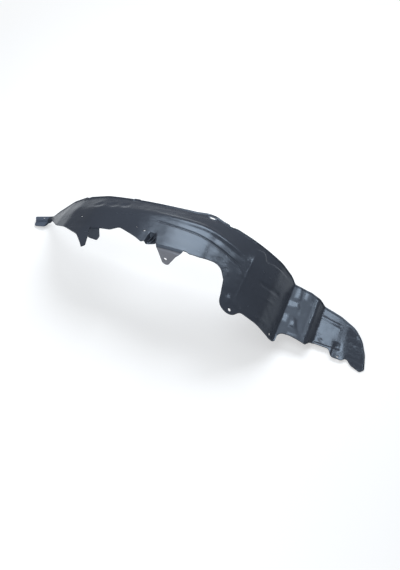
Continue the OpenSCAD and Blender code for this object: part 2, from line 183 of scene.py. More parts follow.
# Rows of the arch by their distance from the strip's line, and of the apron by their Y
ARCH_ROWS = [
    0, 3, 6, 16, 22, 28, 38, 47, 54, 61, 68, 78, 87, 90.5, 93, 95.5, 99, 108, 119, 128, 137, 147,
    157, 165,
]
APRON_ROWS = [
    120, 117, 114, 100, 84, 71, 66, 60, 55, 45, 40, 36, 31, 26, 21, 16, 11, 5, 0, -10, -15, -22,
    -27,
]
# Shift of the apron's rows in front of the riser
FRONT_SHIFT = 6.0
# Distances to which the arch's rows keep their place, and over which they fill the width
BEAD_ROWS = 106.0
FULL_ROWS = 165.0
# Width of the sheet below which the rows draw together
NARROW = 130.0
# Least distance between rows, distance of the row inboard of the lip, and half the width over
# which the rows slide with the groove
MIN_STEP = 2.0
LIP_ROWS = 6.0
SLIDE_ROWS = 40.0
# Where along X the arch's rows start to turn into the apron's
ROWS_TURN = 225.0
# Ends of the stretches of the length, each with its longest step
STRETCHES = [
    (-484, 2.5), (-309, 1.0), (-291, 2.5), (-170, 1.0), (-147, 2.5), (-74, 1.3), (-24, 2.5),
    (88, 1.0), (101, 2.5), (155, 1.8), (262, 1.2), (432, 1.8), (490, None),
]

# Creases that follow a path seen from above: corners (x, y, radius), height, half-width
CREASES = {
    "cross_crease": ([(173, -70, 0), (173, 80, 0)], 0.4, 3.0),
    "curved_crease": (
        [(152, 5, 0), (174, 0, 20), (204, -14, 40), (228, -9, 40), (254, 5, 0)], 1.2, 4.0),
    "valley": ([(200, 18, 0), (229, 25, 40), (254, 40, 0)], -1.6, 9.0),
    "lobe_ridge": ([(157, -70, 0), (163, -82, 12), (190, -82, 20), (203, -88, 0)], 1.2, 8.0),
    "lower_ridge": ([(204, -79, 0), (230, -67, 40), (255, -56, 0)], 1.2, 4.0),
}

# Round holes through the sheet, as (x, y, diameter)
SHEET_HOLES = [
    (-455, 105, 6), (-308, 106, 6), (-269, 24, 7), (-103, 2.5, 4), (-80, -4, 5),
    (172, -104, 8), (262, -68, 7), (424, -37, 5),
]
# Hole through the long tab, as (x, z, diameter)
TAB_HOLE = (-9, 184, 8)
# Slot at the crown: middle, distance between its round ends, and width
SLOT_AT = (47.0, 112.0)
SLOT_LENGTH = 8.0
SLOT_WIDTH = 6.0
# Drills in metres, and their number of sides
DRILL_LENGTH = 0.012
DRILL_SIDES = 48
# Height over which the waste outside the outline is cut
WASTE_Z = (-20, 280)

# The finish is placed in millimetres of the frame.
# Painted light: paler colour on the long tab, standing in for the light it catches from the front,
# and on the foot, standing in for its highlight, as (colour, X from and to, Y from and to)
PAINTED_LIGHT_PATCHES = [
    ((0.22, 0.22, 0.24), (-46.0, 36.0), (-54.0, -47.0)),
    ((0.10, 0.12, 0.16), (-490.0, -444.0), (60.0, 120.0)),
]
PAINTED_LIGHT_FADE = 2.0
# Upper tread, which is matt but for its smooth patches, as the lowest and highest X and Y
MATT_TREAD = ((262.0, 332.0), (-60.0, 125.0))
MATT_FADE = 8.0
MATT_ROUGHNESS = 0.34
SMOOTH_PATCHES = [
    ((274.0, 291.0), (66.0, 106.0)), ((295.0, 311.0), (70.0, 112.0)),
    ((264.0, 297.0), (36.0, 60.0)), ((264.0, 283.0), (-14.0, 16.0)),
    ((287.0, 303.0), (-26.0, 0.0)), ((298.0, 306.0), (18.0, 40.0)),
    ((318.0, 330.0), (60.0, 78.0)), ((290.0, 318.0), (-46.0, -34.0)),
]
PATCH_FADE = 6.0
# Place and width along X of the change to the smoother tip, and how much smoother it is
SMOOTH_TIP = (415.0, 12.0)
TIP_SMOOTHNESS = 0.12
# Change of roughness from clouds and from streaks, and the dark and the pale shade of the plastic
CLOUD_ROUGHNESS = 0.16
STREAK_ROUGHNESS = 0.14
DARK_SHADE = 0.82
PALE_SHADE = 1.2
# Heights of the bumps in metres; the wave doubles on the treads, growing over TREAD_FADE
GRAIN_BUMP = 0.00003
STREAK_BUMP = 0.0006
WAVE_BUMP = 0.0008
TREAD_FADE = 8.0
# Parts of the background that the plastic mirrors and that light it from all round
MIRRORED_PART = 0.12
AMBIENT_PART = 0.08


class LinerSheet(bpy.types.PropertyGroup):
    wall: bpy.props.FloatProperty(
        name="Wall", description="Thickness of the moulded sheet",
        default=0.0026, min=0.001, unit="LENGTH", subtype="DISTANCE")
    lip_width: bpy.props.FloatProperty(
        name="Lip width", description="Width of the turned-up lip along the outboard edge",
        default=0.005, min=0.001, unit="LENGTH", subtype="DISTANCE")
    lip_height: bpy.props.FloatProperty(
        name="Lip height", description="Rise of the lip over its width",
        default=0.0024, unit="LENGTH", subtype="DISTANCE")
    strip_rise: bpy.props.FloatProperty(
        name="Strip rise", description="Rise of the roof inboard of the sloping outboard strip",
        default=0.026, unit="LENGTH", subtype="DISTANCE")
    strip_width: bpy.props.FloatProperty(
        name="Strip width", description="Width of the sloping outboard strip",
        default=0.06, min=0.01, unit="LENGTH", subtype="DISTANCE")
    bead_height: bpy.props.FloatProperty(
        name="Bead height", description="Height of the long bead of the roof",
        default=0.002, unit="LENGTH", subtype="DISTANCE")
    groove_depth: bpy.props.FloatProperty(
        name="Groove depth", description="Depth of the long groove of the roof",
        default=0.0012, unit="LENGTH", subtype="DISTANCE")
    row_parts: bpy.props.IntProperty(
        name="Row parts", description="Rows of faces between two rows of the outline",
        default=4, min=1, max=8)


class LinerTabs(bpy.types.PropertyGroup):
    wall: bpy.props.FloatProperty(
        name="Tab wall", description="Thickness of the hanging tabs",
        default=0.002, min=0.001, unit="LENGTH", subtype="DISTANCE")
    long_bend: bpy.props.FloatProperty(
        name="Long tab bend", description="Outer radius of the bend at the top of the long tab",
        default=0.012, min=0.003, unit="LENGTH", subtype="DISTANCE")
    short_bend: bpy.props.FloatProperty(
        name="Short tab bend", description="Outer radius of the bend at the top of the short tab",
        default=0.005, min=0.003, unit="LENGTH", subtype="DISTANCE")
    gusset_wall: bpy.props.FloatProperty(
        name="Gusset wall", description="Thickness of the gussets on the ledge",
        default=0.002, min=0.0005, unit="LENGTH", subtype="DISTANCE")


class LinerFinish(bpy.types.PropertyGroup):
    color: bpy.props.FloatVectorProperty(
        name="Plastic", description="Colour of the moulded plastic",
        default=(0.042, 0.048, 0.062), min=0.0, max=1.0, subtype="COLOR")
    roughness: bpy.props.FloatProperty(
        name="Roughness", description="Roughness of the clean plastic",
        default=0.24, min=0.0, max=1.0, subtype="FACTOR")
    grain: bpy.props.FloatProperty(
        name="Grain", description="Size of the grain of the mould",
        default=0.0012, min=0.0001, unit="LENGTH", subtype="DISTANCE")


class LinerStage(bpy.types.PropertyGroup):
    azimuth: bpy.props.FloatProperty(
        name="Azimuth", description="Direction of the camera seen from above",
        default=math.radians(22.0), unit="ROTATION", subtype="ANGLE")
    elevation: bpy.props.FloatProperty(
        name="Elevation", description="Height of the camera over the floor as an angle",
        default=math.radians(50.0), unit="ROTATION", subtype="ANGLE")
    distance: bpy.props.FloatProperty(
        name="Distance", description="Distance of the camera from the point it looks at",
        default=1.6, min=0.1, unit="LENGTH", subtype="DISTANCE")
    target: bpy.props.FloatVectorProperty(
        name="Target", description="Point that the camera looks at",
        default=(0.0576, -0.0129, 0.0781), unit="LENGTH", subtype="TRANSLATION")
    back_power: bpy.props.FloatProperty(
        name="Back light", description="Power of the long soft light behind the liner",
        default=23.0, min=0.0, unit="POWER")
    side_power: bpy.props.FloatProperty(
        name="Side light", description="Power of the small soft light behind the front leg",
        default=5.0, min=0.0, unit="POWER")
    top_power: bpy.props.FloatProperty(
        name="Top light", description="Power of the soft light over the liner",
        default=8.0, min=0.0, unit="POWER")
    front_power: bpy.props.FloatProperty(
        name="Front light", description="Power of the low soft light before the liner",
        default=12.0, min=0.0, unit="POWER")
    floor_color: bpy.props.FloatVectorProperty(
        name="Floor", description="Colour of the floor",
        default=(0.6, 0.6, 0.6), min=0.0, max=1.0, subtype="COLOR")


def step_up(start, end, x):
    """Smooth step from 0 at start to 1 at end."""
    t = np.clip((x - start) / (end - start), 0, 1)
    return t * t * (3 - 2 * t)


def window(x, start, end, slope):
    """Smooth window that is 1 from start to end, with slopes centred on both ends."""
    half = slope / 2
    return step_up(start - half, start + half, x) * (1 - step_up(end - half, end + half, x))


def bump(x, half_width):
    """Round bump of height 1."""
    t = np.minimum(1, np.abs(x) / half_width)
    return (1 - t * t) ** 2


def shoulder(t, half=0.2):
    """Ramp of slope 1 that levels off at 1 with a soft shoulder of the given half width."""
    start, end = 1 - half, 1 + half
    return np.where(t < start, t, np.where(t < end, t - (t - start) ** 2 / (4 * half), 1))


def soft_ramp(x, round_off):
    """Ramp of slope 1 from 0 on, with a rounded start."""
    return (x + np.sqrt(x * x + round_off * round_off)) / 2


def mix(a, b, t):
    """Value that goes from a at t = 0 to b at t = 1."""
    return a + (b - a) * t


def rounded(corners, step=2.0, closed=False):
    """Line through corners (x, y, radius), its bends arcs of the given step in degrees."""
    points = []
    for i, (x, y, radius) in enumerate(corners):
        corner = np.array([x, y], float)
        at_end = not closed and i in (0, len(corners) - 1)
        if radius == 0 or at_end:
            points.append(corner)
            continue
        u = corner - np.array(corners[i - 1][:2], float)
        v = np.array(corners[(i + 1) % len(corners)][:2], float) - corner
        u /= np.linalg.norm(u)
        v /= np.linalg.norm(v)
        turn = math.atan2(u[0] * v[1] - u[1] * v[0], u @ v)
        side = np.array([-u[1], u[0]]) * math.copysign(radius, turn)
        middle = corner - radius * math.tan(abs(turn) / 2) * u + side
        parts = max(1, math.ceil(abs(math.degrees(turn)) / step))
        for k in range(parts + 1):
            c, s = math.cos(turn * k / parts), math.sin(turn * k / parts)
            turned = np.array([c * side[0] - s * side[1], s * side[0] + c * side[1]])
            points.append(middle - turned)
    return np.array(points)


class RoundedLine:
    """Reads a rounded line as a height at x."""

    def __init__(self, corners):
        self.points = rounded(corners, step=0.1)

    def __call__(self, x):
        return np.interp(x, self.points[:, 0], self.points[:, 1])


class Form:
    """The top face of the sheet as a height over the plan, in millimetres."""

    def __init__(self, sheet):
        self.wall = sheet.wall / MM
        self.lip_width = sheet.lip_width / MM
        self.lip_height = sheet.lip_height / MM
        self.strip_rise = sheet.strip_rise / MM
        self.strip_width = sheet.strip_width / MM
        self.bead_height = sheet.bead_height / MM
        self.groove_depth = sheet.groove_depth / MM
        self.row_parts = sheet.row_parts
        self.side = RoundedLine(SIDE_LINE)
        self.outer = RoundedLine(OUTER_LINE)
        self.strip = RoundedLine(STRIP_LINE)
        self.inner = RoundedLine(BLANK_LINE)
        self.rise = RoundedLine(
            [(x, share * self.strip_rise, radius) for x, share, radius in RISE_LINE])
        self.panel = RoundedLine(PANEL_LINE)

    def height(self, x, y):
        """Height of the top face at x, y."""
        edge = self.outer(x) - y
        a = self.strip(x) - y
        z = self.side(x) + self.rise(x) * shoulder(a / self.strip_width)
        lip = 1 - step_up(LIP_RIM, self.lip_width + LIP_RIM, edge)
        z = z + self.lip_height * lip * step_up(*LIP_FROM, x)
        z = z - TONGUE_DROP * (1 - step_up(*TONGUE_TO, x)) * step_up(*TONGUE_STEP, edge)
        z = z - FOLD_SLOPE * soft_ramp(x - FOLD_X + FOLD_LEAN * y, FOLD_ROUND)
        return z + self.roof_beads(x, a) + self.leg_panel(x, y) + self.pads(x, y)

    def slide(self, x):
        """How far the groove lies from its middle place."""
        return np.clip(SLIDE * (x - SLIDE_FROM), -SLIDE_MOST, SLIDE_MOST)

    def roof_beads(self, x, a):
        """Long bead and groove of the roof."""
        along = step_up(*BEAD_FROM, x) * (1 - step_up(*BEAD_TO, x))
        bead = self.bead_height * bump(a - BEAD_AT - self.slide(x) / 2, BEAD_HALF)
        groove = self.groove_depth * bump(a - GROOVE_AT - self.slide(x), GROOVE_HALF)
        return along * (bead - groove)

    def leg_panel(self, x, y):
        """Raised panel of the front leg."""
        edge = self.panel(x)
        inside = 1 - step_up(edge - PANEL_EDGE_HALF, edge + PANEL_EDGE_HALF, y)
        along = window(x, *PANEL_X, PANEL_END_SLOPE)
        return PANEL_RISE * along * step_up(*PANEL_FROM_Y, y) * inside

    def pads(self, x, y):
        """Pads of the apron, level spots and dents of the strip, and the ledge."""
        z = np.zeros(np.broadcast(x, y).shape)
        for x_from, x_to, y_from, y_to, back, front, slope, lean, drift in PADS:
            along = x - lean * (y - (y_from + y_to) / 2)
            across = y - drift * (x - (x_from + x_to) / 2)
            rise = mix(back, front, (along - x_from) / (x_to - x_from))
            z += rise * window(along, x_from, x_to, slope) * window(across, y_from, y_to, slope)
        for x_at, y_at, half_x, half_y in LEVEL_SPOTS:
            level = (window(x, x_at - half_x, x_at + half_x, LEVEL_FADE)
                     * window(y, y_at - half_y, y_at + half_y, LEVEL_FADE))
            z += level * self.rise(x_at) / self.strip_width * (y - y_at)
        for x_at, y_at, radius, depth in DENTS:
            z -= depth * bump(np.hypot(x - x_at, y - y_at), radius)
        half = LEDGE_SLOPE / 2
        front = LEDGE_X[1] - LEDGE_LEAN * (y - LEDGE_LEAN_Y)
        across = 1 - step_up(LEDGE_Y - half, LEDGE_Y + half, y)
        inside = window(x, LEDGE_X[0], front, LEDGE_SLOPE) * across
        return z - LEDGE_DROP * inside

    def normal(self, x, y, reach=3.0):
        """Direction of the normal of the sheet at x, y."""
        dx = self.height(x + reach, y) - self.height(x - reach, y)
        dy = self.height(x, y + reach) - self.height(x, y - reach)
        n = np.array([-dx, -dy, 2 * reach])
        return n / np.linalg.norm(n)

    def stations(self):
        """Places along X, closer where the sheet bends."""
        parts = []
        for (start, step), (end, _) in zip(STRETCHES, STRETCHES[1:]):
            parts.append(np.linspace(start, end, math.ceil((end - start) / step), endpoint=False))
        return np.append(np.concatenate(parts), STRETCHES[-1][0])

    def top_grid(self):
        """Points of the top face by station and row."""
        x = self.stations()[:, None]
        last = len(ARCH_ROWS) - 1
        row = np.linspace(0, last, last * self.row_parts + 1)[None, :]
        numbers = np.arange(last + 1)
        outer, inner, strip = self.outer(x), self.inner(x), self.strip(x)
        width = strip - inner
        k = np.minimum(1, width / NARROW)
        arch_row = np.interp(row, numbers, ARCH_ROWS)
        spread = np.maximum(0, (arch_row - BEAD_ROWS) / (FULL_ROWS - BEAD_ROWS))
        arch_row = arch_row + self.slide(x) * k * bump(arch_row - GROOVE_AT, SLIDE_ROWS)
        arch = strip - arch_row * k - (width - k * FULL_ROWS) * spread
        apron = np.interp(row, numbers[:-1], APRON_ROWS) + FRONT_SHIFT * step_up(*RISER_X, x)
        apron = mix(apron, inner, np.maximum(0, row - (last - 1)))
        level = mix(arch, apron, step_up(ROWS_TURN, APRON_X, x))
        close_rows = ARCH_ROWS[:3] + [LIP_ROWS + MIN_STEP * (j - 2) for j in range(3, last + 1)]
        squeeze = np.minimum(1, (outer - inner) / (LIP_ROWS + MIN_STEP * last))
        close = outer - squeeze * np.interp(row, numbers, close_rows)
        y = mix(close, np.minimum(level, close), np.clip(row - 2, 0, 1))
        x = np.broadcast_to(x, y.shape)
        return np.stack([x, y, self.height(x, y)], axis=2)

    def grid_normals(self, top):
        """Normals of the grid, taken over a few steps so that the under side never folds."""
        reach = 3
        stations, rows = top.shape[:2]
        i, j = np.arange(stations), np.arange(rows)
        along = top[np.minimum(i + reach, stations - 1)] - top[np.maximum(i - reach, 0)]
        across = top[:, np.maximum(j - reach, 0)] - top[:, np.minimum(j + reach, rows - 1)]
        n = np.cross(along, across)
        return n / np.linalg.norm(n, axis=2, keepdims=True)


def place(points):
    """Millimetres of the outlines as metres of the frame."""
    return (np.asarray(points, float) - ORIGIN) * MM


def new_object(name, points, faces):
    """New mesh object at the origin."""
    mesh = bpy.data.meshes.new(name)
    mesh.from_pydata(np.asarray(points).tolist(), [], np.asarray(faces).tolist())
    mesh.update()
    obj = bpy.data.objects.new(name, mesh)
    bpy.context.scene.collection.objects.link(obj)
    return obj


def grid_faces(stations, rows):
    """Quads of a closed shell between a top grid and an under grid, facing outwards."""
    i, j = np.meshgrid(np.arange(stations - 1), np.arange(rows - 1), indexing="ij")
    i, j = i.ravel(), j.ravel()
    under = stations * rows

    def top(i, j):
        return i * rows + j

    def low(i, j):
        return under + i * rows + j

    ends = np.arange(rows - 1)
    sides = np.arange(stations - 1)
    first, last = 0, stations - 1
    edge = rows - 1
    quads = [
        (top(i, j), top(i, j + 1), top(i + 1, j + 1), top(i + 1, j)),
        (low(i, j), low(i + 1, j), low(i + 1, j + 1), low(i, j + 1)),
        (top(sides, 0), top(sides + 1, 0), low(sides + 1, 0), low(sides, 0)),
        (top(sides + 1, edge), top(sides, edge), low(sides, edge), low(sides + 1, edge)),
        (top(first, ends), low(first, ends), low(first, ends + 1), top(first, ends + 1)),
        (top(last, ends + 1), low(last, ends + 1), low(last, ends), top(last, ends)),
    ]
    return np.concatenate([np.stack(np.broadcast_arrays(*q), axis=1) for q in quads])


def prism(name, outline, plane, start, end):
    """Closed prism over an outline: seen from above along Z, or from the side along Y."""
    outline = np.asarray(outline)
    n = len(outline)
    ends = []
    for level in (start, end):
        other = np.full((n, 1), level)
        if plane == "above":
            ends.append(np.hstack([outline, other]))
        else:
            ends.append(np.hstack([outline[:, :1], other, outline[:, 1:]]))
    faces = [list(range(n))[::-1], list(range(n, 2 * n))]
    faces += [[k, (k + 1) % n, n + (k + 1) % n, n + k] for k in range(n)]
    mesh = bpy.data.meshes.new(name)
    mesh.from_pydata(place(np.concatenate(ends)).tolist(), [], faces)
    obj = bpy.data.objects.new(name, mesh)
    bpy.context.scene.collection.objects.link(obj)
    return face_out(obj)


def face_out(obj):
    """Turns the faces of a closed mesh outwards."""
    bm = bmesh.new()
    bm.from_mesh(obj.data)
    bmesh.ops.recalc_face_normals(bm, faces=bm.faces)
    bm.to_mesh(obj.data)
    bm.free()
    return obj


def bake(obj):
    """Replaces an object's mesh by its evaluated one and drops its modifiers."""
    evaluated = obj.evaluated_get(bpy.context.evaluated_depsgraph_get())
    mesh = bpy.data.meshes.new_from_object(evaluated)
    obj.modifiers.clear()
    old = obj.data
    obj.data = mesh
    bpy.data.meshes.remove(old)
    return obj


def combine(obj, tool, operation):
    """Boolean of obj with tool, which is used up."""
    modifier = obj.modifiers.new("combine", "BOOLEAN")
    modifier.operation = operation
    modifier.solver = "MANIFOLD"
    modifier.object = tool
    bpy.context.view_layer.update()
    before = len(obj.data.polygons)
    bake(obj)
    if not obj.data.polygons:
        raise RuntimeError(
            f"{operation} of {obj.name} ({before} faces) with {tool.name} left nothing")
    bpy.data.objects.remove(tool)
    return obj


class Value:
    """A socket whose arithmetic adds Math nodes to its tree."""

    def __init__(self, tree, socket):
        self.tree = tree
        self.socket = socket

    def math(self, operation, *values):
        inputs = {i: v for i, v in enumerate(values)}
        return self.tree.value("ShaderNodeMath", {"operation": operation}, inputs)

    def __add__(self, other):
        return self.math("ADD", self, other)

    def __radd__(self, other):
        return self.math("ADD", other, self)

    def __sub__(self, other):
        return self.math("SUBTRACT", self, other)

    def __rsub__(self, other):
        return self.math("SUBTRACT", other, self)

    def __mul__(self, other):
        return self.math("MULTIPLY", self, other)

    def __rmul__(self, other):
        return self.math("MULTIPLY", other, self)

    def __truediv__(self, other):
        return self.math("DIVIDE", self, other)

    def at_most(self, other):
        return self.math("MINIMUM", self, other)

    def at_least(self, other):
        return self.math("MAXIMUM", self, other)


class Tree:
    """Adds nodes to one tree from their type, settings and inputs."""

    def __init__(self, tree):
        self.tree = tree

    def node(self, kind, settings=None, inputs=None):
        node = self.tree.nodes.new(kind)
        for name, setting in (settings or {}).items():
            setattr(node, name, setting)
        for key, value in (inputs or {}).items():
            if isinstance(value, Value):
                self.tree.links.new(value.socket, node.inputs[key])
            elif isinstance(value, bpy.types.NodeSocket):
                self.tree.links.new(value, node.inputs[key])
            else:
                node.inputs[key].default_value = value
        return node

    def value(self, kind, settings=None, inputs=None, output=0):
        return Value(self, self.node(kind, settings, inputs).outputs[output])

    def attribute(self, name, data_type):
        return self.value(
            "GeometryNodeInputNamedAttribute", {"data_type": data_type}, {"Name": name})


def geometry_tree(name, inputs):
    """New geometry tree with a mesh input, a mesh output and the named inputs."""
    tree = bpy.data.node_groups.new(name, "GeometryNodeTree")
    tree.interface.new_socket("Geometry", in_out="INPUT", socket_type="NodeSocketGeometry")
    for label, kind in [*inputs, ("Material", "NodeSocketMaterial")]:
        tree.interface.new_socket(label, in_out="INPUT", socket_type=kind)
    tree.interface.new_socket("Geometry", in_out="OUTPUT", socket_type="NodeSocketGeometry")
    return tree, Tree(tree)


def end_tree(nodes, source, geometry):
    """Ends a geometry tree in real meshes of the material that it is given."""
    real = nodes.value("GeometryNodeRealizeInstances", None, {"Geometry": geometry})
    done = nodes.value(
        "GeometryNodeSetMaterial", None,
        {"Geometry": real, "Material": source.outputs["Material"]})
    nodes.node("NodeGroupOutput", None, {"Geometry": done})


def use_tree(obj, tree, values):
    """Runs a geometry tree on obj with the given inputs, and keeps the result as a plain mesh."""
    values = {**values, "Material": plastic_material(bpy.context.scene.liner_finish)}
    modifier = obj.modifiers.new(tree.name, "NODES")
    modifier.node_group = tree
    for item in tree.interface.items_tree:
        if item.item_type == "SOCKET" and item.in_out == "INPUT" and item.name in values:
            modifier[item.identifier] = values[item.name]
    bpy.context.view_layer.update()
    return bake(obj)


def crease_tree():
    """Tree that lifts the sheet along a path seen from above."""
    tree, nodes = geometry_tree("Crease along a path", [
        ("Path", "NodeSocketObject"), ("Height", "NodeSocketFloat"),
        ("Half width", "NodeSocketFloat")])
    source = nodes.node("NodeGroupInput")
    path = nodes.node("GeometryNodeObjectInfo", None, {"Object": source.outputs["Path"]})
    plan = nodes.attribute("plan", "FLOAT_VECTOR")
    up = nodes.attribute("sheet_up", "FLOAT_VECTOR")
    strength = nodes.attribute("strength", "FLOAT")
    position = nodes.value("GeometryNodeInputPosition")
    points = path.outputs["Geometry"]
    nearest = nodes.value(
        "GeometryNodeSampleNearest", {"domain": "POINT"},
        {"Geometry": points, "Sample Position": plan})
    spot = nodes.value(
        "GeometryNodeSampleIndex", {"data_type": "FLOAT_VECTOR", "domain": "POINT"},
        {"Geometry": points, "Value": position, "Index": nearest})
    fade = nodes.value(
        "GeometryNodeSampleIndex", {"data_type": "FLOAT", "domain": "POINT"},
        {"Geometry": points, "Value": strength, "Index": nearest})
    distance = nodes.value(
        "ShaderNodeVectorMath", {"operation": "DISTANCE"}, {0: plan, 1: spot}, "Value")
    t = (distance / Value(nodes, source.outputs["Half width"])).at_most(1.0)
    profile = 1.0 - t * t
    lift = profile * profile * fade * Value(nodes, source.outputs["Height"])
    offset = nodes.value("ShaderNodeVectorMath", {"operation": "SCALE"}, {0: up, "Scale": lift})
    moved = nodes.value(
        "GeometryNodeSetPosition", None,
        {"Geometry": source.outputs["Geometry"], "Offset": offset})
    end_tree(nodes, source, moved)
    return tree


def path_object(name, corners, fade=12.0):
    """Points a millimetre apart along a path seen from above, weaker towards both ends."""
    line = rounded(corners)
    lengths = np.append(0, np.cumsum(np.linalg.norm(np.diff(line, axis=0), axis=1)))
    run = np.linspace(0, lengths[-1], max(2, math.ceil(lengths[-1])))
    x, y = np.interp(run, lengths, line[:, 0]), np.interp(run, lengths, line[:, 1])
    points = place(np.stack([x, y, np.full(x.shape, ORIGIN[2])], axis=1))
    obj = new_object(name, points, [])
    strength = step_up(0, fade, run) * (1 - step_up(lengths[-1] - fade, lengths[-1], run))
    attribute = obj.data.attributes.new("strength", "FLOAT", "POINT")
    attribute.data.foreach_set("value", strength.astype(np.float32))
    return obj


def gusset_tree():
    """Tree that stands a row of tapered gussets along a line."""
    tree, nodes = geometry_tree("Gusset row", [
        ("Count", "NodeSocketInt"), ("Start", "NodeSocketVector"), ("Step", "NodeSocketVector"),
        ("Size", "NodeSocketVector"), ("Low end", "NodeSocketFloat"), ("Turn", "NodeSocketFloat")])
    source = nodes.node("NodeGroupInput")
    size = source.outputs["Size"]
    cube = nodes.value("GeometryNodeMeshCube", None, {"Size": size}, "Mesh")
    position = nodes.value("GeometryNodeInputPosition")
    parts = nodes.node("ShaderNodeSeparateXYZ", None, {0: position})
    sizes = nodes.node("ShaderNodeSeparateXYZ", None, {0: size})
    y, z = Value(nodes, parts.outputs["Y"]), Value(nodes, parts.outputs["Z"])
    along = y / Value(nodes, sizes.outputs["Y"]) + 0.5
    up = z / Value(nodes, sizes.outputs["Z"]) + 0.5
    low = Value(nodes, source.outputs["Low end"])
    height = (low + (Value(nodes, sizes.outputs["Z"]) - low) * along) * up
    shaped = nodes.value(
        "ShaderNodeCombineXYZ", None, {"X": parts.outputs["X"], "Y": y, "Z": height})
    gusset = nodes.value("GeometryNodeSetPosition", None, {"Geometry": cube, "Position": shaped})
    line = nodes.value(
        "GeometryNodeMeshLine", {"mode": "OFFSET"},
        {"Count": source.outputs["Count"], "Start Location": source.outputs["Start"],
         "Offset": source.outputs["Step"]}, "Mesh")
    turn = nodes.value("ShaderNodeCombineXYZ", None, {"Z": source.outputs["Turn"]})
    row = nodes.value(
        "GeometryNodeInstanceOnPoints", None,
        {"Points": line, "Instance": gusset, "Rotation": turn})
    end_tree(nodes, source, row)
    return tree


def drill_tree():
    """Tree that puts a drill of its own radius and direction on each point."""
    tree, nodes = geometry_tree("Drills", [("Depth", "NodeSocketFloat")])
    source = nodes.node("NodeGroupInput")
    axis = nodes.attribute("axis", "FLOAT_VECTOR")
    radius = nodes.attribute("radius", "FLOAT")
    drill = nodes.value(
        "GeometryNodeMeshCylinder", None,
        {"Vertices": DRILL_SIDES, "Radius": 1.0, "Depth": source.outputs["Depth"]}, "Mesh")
    turn = nodes.value("FunctionNodeAlignRotationToVector", {"axis": "Z"}, {"Vector": axis})
    scale = nodes.value("ShaderNodeCombineXYZ", None, {"X": radius, "Y": radius, "Z": 1.0})
    row = nodes.value(
        "GeometryNodeInstanceOnPoints", None,
        {"Points": source.outputs["Geometry"], "Instance": drill, "Rotation": turn,
         "Scale": scale})
    end_tree(nodes, source, row)
    return tree


def liner_object():
    """The liner as far as it is built."""
    obj = bpy.data.objects.get(PIECE)
    if obj is None:
        raise RuntimeError("build the sheet first")
    return obj


class LINER_OT_sheet(bpy.types.Operator):
    """Builds the doubly shaped sheet and trims its inboard outline"""
    bl_idname = "liner.sheet"
    bl_label = "Sheet"

    def execute(self, context):
        form = Form(context.scene.liner_sheet)
        top = form.top_grid()
        up = form.grid_normals(top)
        under = top - form.wall * up
        points = np.concatenate([top.reshape(-1, 3), under.reshape(-1, 3)])
        obj = new_object(PIECE, place(points), grid_faces(*top.shape[:2]))
        plan = place(np.concatenate([top.reshape(-1, 3)] * 2))
        plan[:, 2] = 0
        sheet_up = np.concatenate([up.reshape(-1, 3)] * 2)
        for name, vectors in (("plan", plan), ("sheet_up", sheet_up)):
            attribute = obj.data.attributes.new(name, "FLOAT_VECTOR", "POINT")
            attribute.data.foreach_set("vector", vectors.astype(np.float32).ravel())
        tree = crease_tree()
        for name, (corners, height, half_width) in CREASES.items():
            path = path_object(name, corners)
            use_tree(obj, tree, {
                "Path": path, "Height": height * MM, "Half width": half_width * MM})
            bpy.data.objects.remove(path)
        outline = rounded(TRIM_OUTLINE, step=4.0, closed=True)
        waste = prism("waste", outline, "above", *WASTE_Z)
        combine(obj, waste, "DIFFERENCE")
        return {"FINISHED"}


def tab_object(form, name, outline, edge_y, bend, wall):
    """Plate that bends down from the sheet at edge_y, cut to an outline seen from the side."""
    flange, depth, sink, margin = 14.0, 70.0, 0.05, 4.0
    columns, flange_rows, bend_rows, drop_rows = 60, 8, 19, 31
    x_from, x_to = outline[0][0], outline[-1][0]
    x = np.linspace(x_from - margin, x_to + margin, columns)[:, None]
    turn = np.radians(np.linspace(90, 180, bend_rows))
    arc_y, arc_z = np.cos(turn), np.sin(turn)

    def profile(radius, end):
        y = np.concatenate([np.linspace(bend + flange, bend, flange_rows)[:-1],
                            bend + radius * arc_y, np.full(drop_rows - 1, end)])
        z = np.concatenate([np.full(flange_rows - 1, radius - bend), radius * arc_z - bend,
                            np.linspace(-bend, -depth, drop_rows)[1:]])
        return y[None, :] + edge_y, z[None, :]

    base = form.height(x, edge_y + bend + margin) - sink
    grids = []
    for radius, end in ((bend, 0.0), (bend - wall, wall)):
        y, z = profile(radius, end)
        grids.append(np.stack(np.broadcast_arrays(x, y, base + z), axis=2))
    faces = grid_faces(*grids[0].shape[:2])
    plate = new_object(name, place(np.concatenate([g.reshape(-1, 3) for g in grids])), faces)
    face_out(plate)
    shape = prism(name + "_outline", rounded(outline, step=4.0, closed=True), "side",
                  edge_y - 3, edge_y + bend + flange + 1)
    return combine(plate, shape, "INTERSECT")


class LINER_OT_tabs(bpy.types.Operator):
    """Joins the two hanging tabs to the sheet"""
    bl_idname = "liner.tabs"
    bl_label = "Tabs"

    def execute(self, context):
        form = Form(context.scene.liner_sheet)
        tabs = context.scene.liner_tabs
        obj = liner_object()
        for name, outline, edge_y, bend in (
            ("long_tab", LONG_TAB, LONG_TAB_Y, tabs.long_bend / MM),
            ("short_tab", SHORT_TAB, SHORT_TAB_Y, tabs.short_bend / MM),
        ):
            combine(obj, tab_object(form, name, outline, edge_y, bend, tabs.wall / MM), "UNION")
        return {"FINISHED"}


